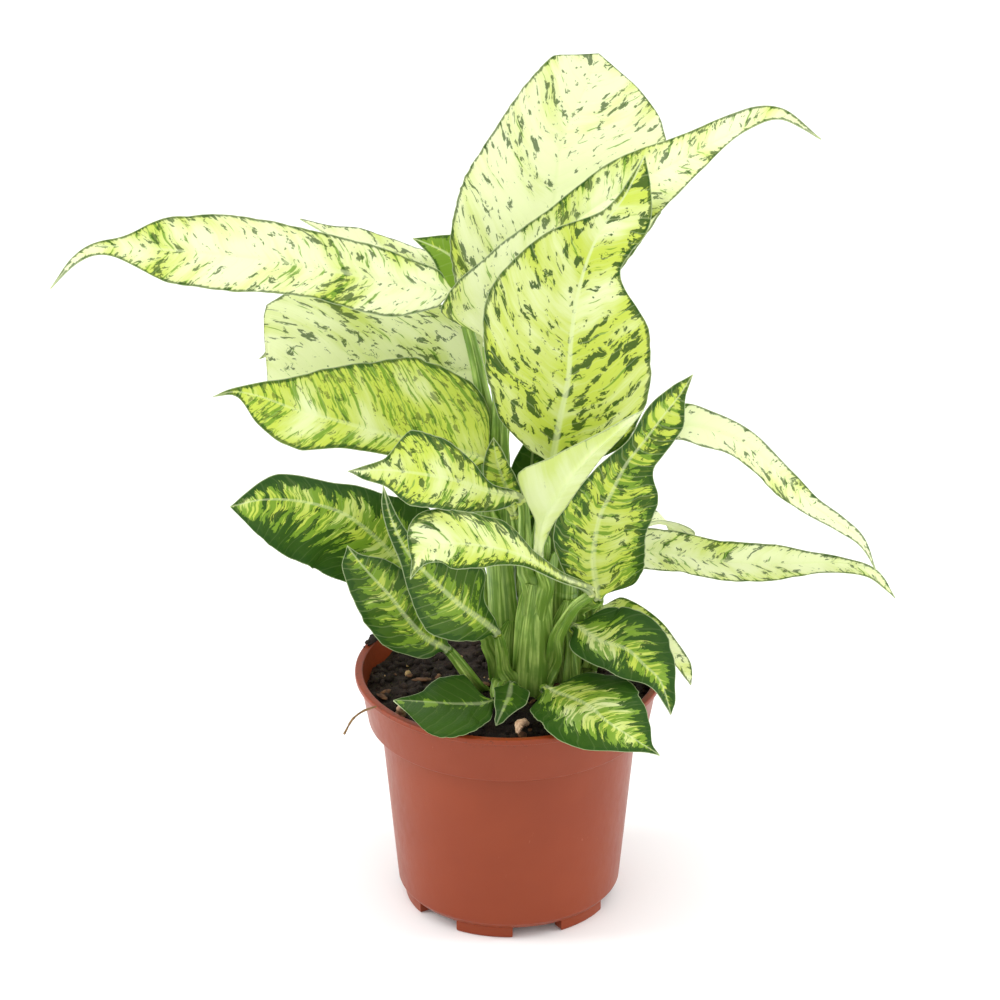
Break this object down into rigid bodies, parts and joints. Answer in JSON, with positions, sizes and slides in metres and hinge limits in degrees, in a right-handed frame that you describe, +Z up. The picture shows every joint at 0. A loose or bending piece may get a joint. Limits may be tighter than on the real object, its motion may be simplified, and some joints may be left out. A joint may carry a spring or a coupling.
{
  "type": "potted dieffenbachia",
  "caption": "Leafy variegated houseplant clump with cream and green leaves on upright stems, in a terracotta-coloured plastic nursery pot on short feet.",
  "frame": {"origin": "centre of the whole plant in plan, at the level the pot's feet stand on", "axes": "+Z up, -Y towards the front of the plant, +X to the right seen from the front"},
  "size_m": [0.3202, 0.1486, 0.3338],
  "materials": {
    "pot_plastic": "moulded, soft satin",
    "compost": "damp, crumbly",
    "stem_green": "smooth living stem",
    "leaf_pale": "waxy leaf, cream with green flecks",
    "leaf_green": "waxy leaf, yellow-green with darker mottling",
    "leaf_dark": "waxy leaf, dark green with a cream-yellow centre",
    "dry_matter": "dry, papery"
  },
  "bodies": {
    "root": {"cane_front": "stem_green", "cane_left": "stem_green", "cane_rear": "stem_green", "cane_right": "stem_green", "dry_hook": "dry_matter", "dry_sheath": "dry_matter", "leaf_basal_left": "leaf_dark", "leaf_basal_mid": "leaf_dark", "leaf_basal_right": "leaf_dark", "leaf_centre_dark": "leaf_dark", "leaf_centre_young": "leaf_green", "leaf_front_young": "leaf_pale", "leaf_left_broad": "leaf_pale", "leaf_left_dark": "leaf_dark", "leaf_left_low": "leaf_green", "leaf_left_mottled": "leaf_green", "leaf_left_small": "leaf_pale", "leaf_left_upper": "leaf_pale", "leaf_low_oblique": "leaf_green", "leaf_low_pale": "leaf_pale", "leaf_low_right": "leaf_dark", "leaf_low_right_rear": "leaf_pale", "leaf_rear_high": "leaf_pale", "leaf_rear_left": "leaf_green", "leaf_rear_right": "leaf_green", "leaf_rear_small": "leaf_green", "leaf_right_arching": "leaf_pale", "leaf_right_level": "leaf_pale", "leaf_right_rear": "leaf_pale", "leaf_right_upright": "leaf_green", "leaf_top_front": "leaf_pale", "leaf_top_rear": "leaf_pale", "leaf_top_right": "leaf_pale", "pot": "pot_plastic", "root_fibre": "dry_matter", "soil": "compost"}
  },
  "joints": []
}
